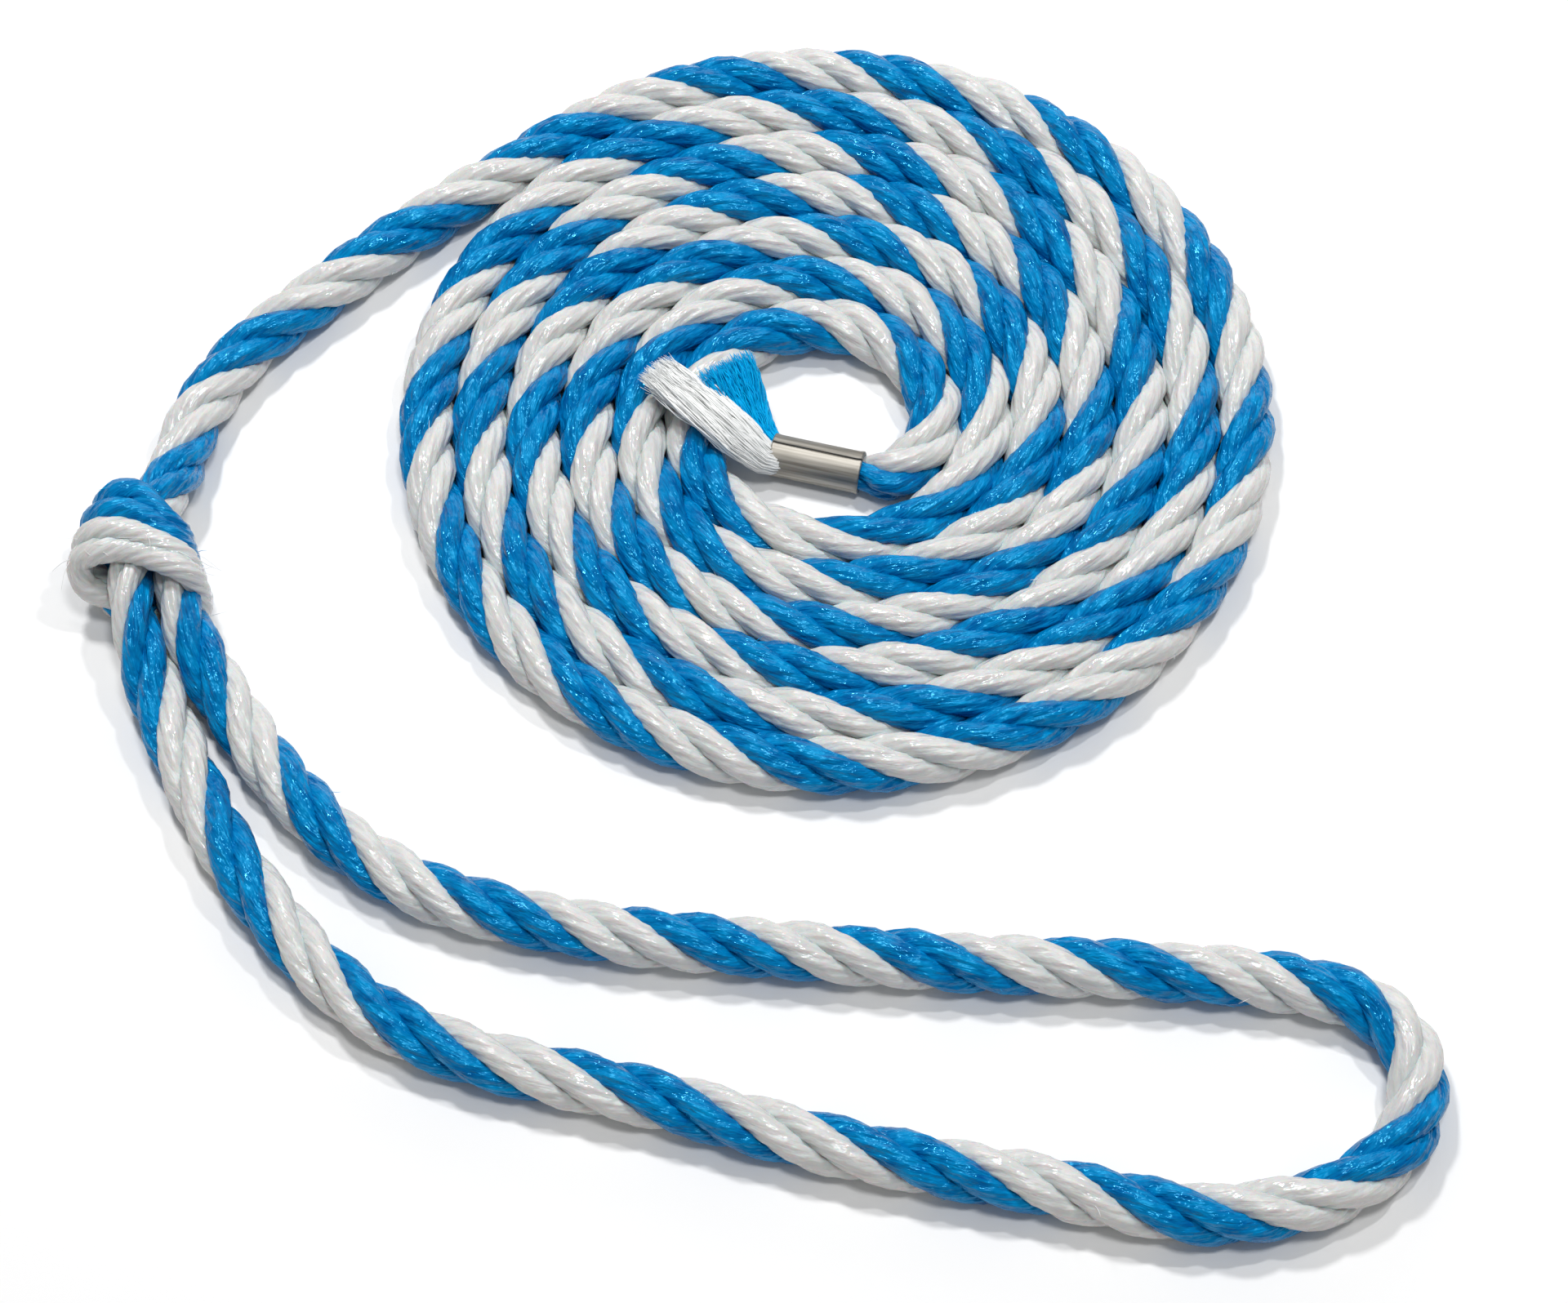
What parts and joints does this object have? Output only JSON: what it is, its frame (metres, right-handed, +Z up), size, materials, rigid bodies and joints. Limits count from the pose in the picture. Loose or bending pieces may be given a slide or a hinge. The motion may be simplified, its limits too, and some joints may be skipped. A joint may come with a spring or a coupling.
{
  "type": "coiled dock line",
  "caption": "Short blue and white laid rope in a flat round coil, with a knotted eye at one end and a crimped metal ferrule and frayed strands at the other.",
  "frame": {"origin": "centre of the outline as it lies, on the plane it rests on", "axes": "+Z up from that plane; +X to the right and +Y away, seen from above with the eye's loop nearest"},
  "size_m": [0.2768, 0.2864, 0.0236],
  "materials": {
    "rope_mixed": "glossy polypropylene filaments, blue and white strands",
    "rope_white": "glossy white polypropylene filaments",
    "rope_blue": "glossy blue polypropylene filaments",
    "ferrule": "thin rolled steel sheet, nickel plated, slightly dulled"
  },
  "bodies": {
    "root": {"rope_coil": "rope_mixed", "rope_lead": "rope_mixed", "rope_inner_bend": "rope_mixed", "eye_loop": "rope_mixed", "knot_right_leg": "rope_white", "knot_left_leg": "rope_white", "knot_collar": "rope_blue", "ferrule": "ferrule", "crimped_rope_core": "rope_mixed", "frayed_end_white_1": "rope_white", "frayed_end_white_2": "rope_white", "frayed_end_blue_1": "rope_blue", "frayed_end_blue_2": "rope_blue"}
  },
  "joints": []
}
